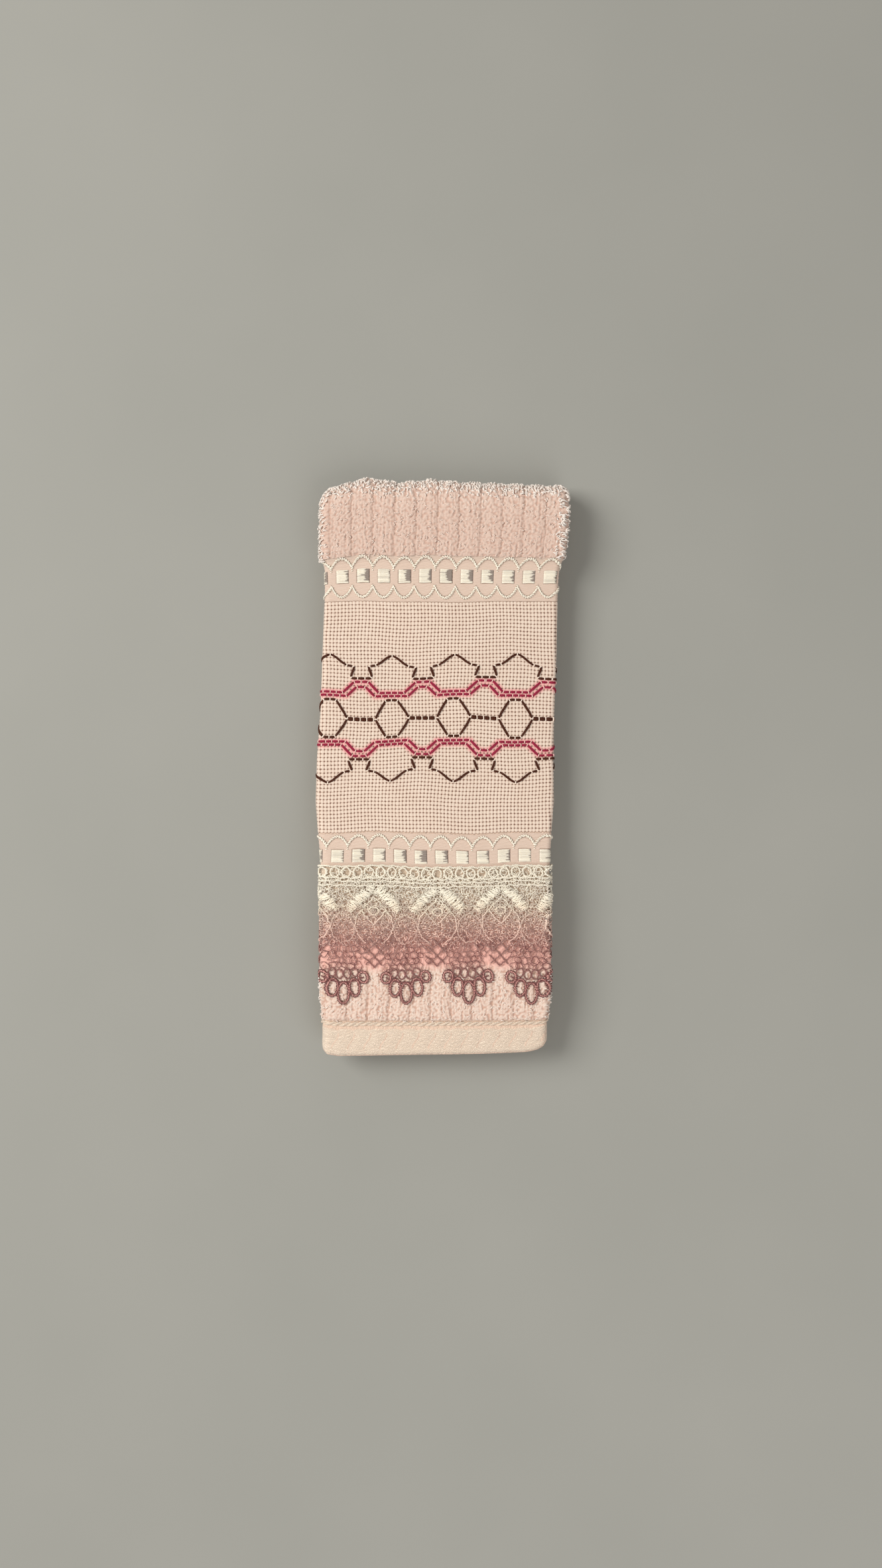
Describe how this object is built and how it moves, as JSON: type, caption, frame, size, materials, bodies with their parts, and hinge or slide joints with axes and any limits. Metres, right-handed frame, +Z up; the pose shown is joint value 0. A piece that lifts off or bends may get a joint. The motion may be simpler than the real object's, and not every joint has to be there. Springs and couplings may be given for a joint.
{
  "type": "folded hand towel",
  "caption": "Terry guest towel folded in three and then in half, with an open-weave embroidered border, woven scallop bands and a scalloped lace trim.",
  "frame": {"origin": "middle of the underside, on the surface that the towel lies on", "axes": "+X to the right across the folded front, +Y to the top fold, away from the hem and lace, +Z up out of the front"},
  "size_m": [0.109, 0.2504, 0.0207],
  "materials": {
    "cotton_terry": "pale pink-beige cotton terry, with flat and open weave in the border and a cream woven hem",
    "lace": "machine-embroidered lace shaded from ivory at its top to dusty rose and mauve at its scalloped edge"
  },
  "bodies": {
    "root": {"towel_cloth": "cotton_terry", "lace_trim": "lace"}
  },
  "joints": []
}
